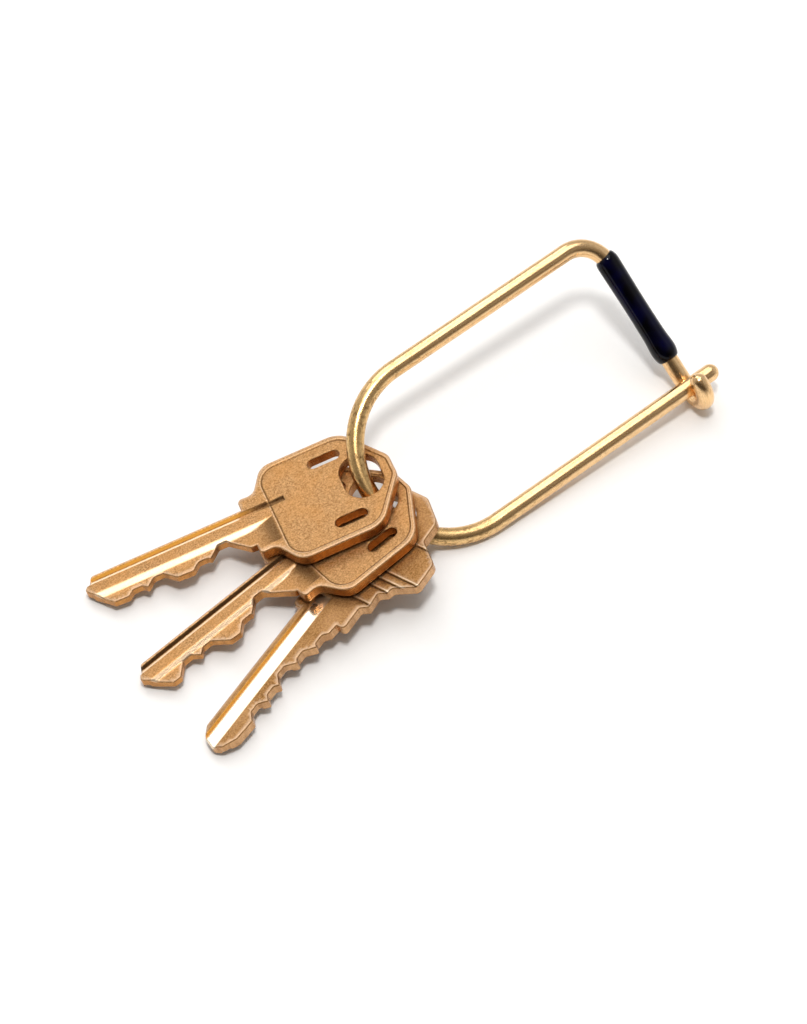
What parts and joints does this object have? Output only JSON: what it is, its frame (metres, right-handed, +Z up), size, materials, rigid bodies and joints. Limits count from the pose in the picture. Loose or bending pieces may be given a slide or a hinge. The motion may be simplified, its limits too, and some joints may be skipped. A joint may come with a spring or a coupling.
{
  "type": "key ring with keys",
  "caption": "Bent brass wire key ring that closes with its own hook, its short side dipped in dark enamel, with flat keys threaded on its round bend.",
  "frame": {"origin": "middle of the whole object's plan, on the table that it lies on", "axes": "+X along the ring's long sides, towards the hook; +Y from the spring arm to the far side; +Z up"},
  "size_m": [0.1092, 0.0392, 0.0195],
  "materials": {
    "wire_brass": "raw brass wire, satin, with drawing lines along it",
    "enamel": "glossy dipped enamel, navy to black",
    "door_key_brass": "tumbled satin brass",
    "cabinet_key_brass": "tumbled satin brass with a bright milled groove"
  },
  "bodies": {
    "ring": {"ring_wire": "wire_brass", "enamel_coat": "enamel"},
    "arm": {"spring_arm": "wire_brass"},
    "top_key": {"top_key": "door_key_brass"},
    "middle_key": {"middle_key": "door_key_brass"},
    "bottom_key": {"bottom_key": "cabinet_key_brass"}
  },
  "joints": [
    {"name": "arm_flex", "type": "hinge", "parent": "ring", "child": "arm", "pos_m": [0.01161, -0.01134, 0.00184], "axis": [-0.0643, -0.5736, 0.8166], "range_deg": [0, 7], "stiffness_Nm_per_rad": 4.8, "springref_deg": -2.29},
    {"name": "top_key_swing", "type": "hinge", "parent": "ring", "child": "top_key", "pos_m": [-0.00665, 0.0048, 0.00865], "axis": [-0.1043, 0.195, 0.9752], "range_deg": [0, 25]},
    {"name": "middle_key_swing", "type": "hinge", "parent": "ring", "child": "middle_key", "pos_m": [-0.00682, 0.00132, 0.00686], "axis": [-0.1226, 0.1946, 0.9732], "range_deg": [0, 30]},
    {"name": "bottom_key_swing", "type": "hinge", "parent": "ring", "child": "bottom_key", "pos_m": [-0.00597, -0.00211, 0.00517], "axis": [-0.1417, 0.1941, 0.9707], "range_deg": [0, 35]}
  ]
}
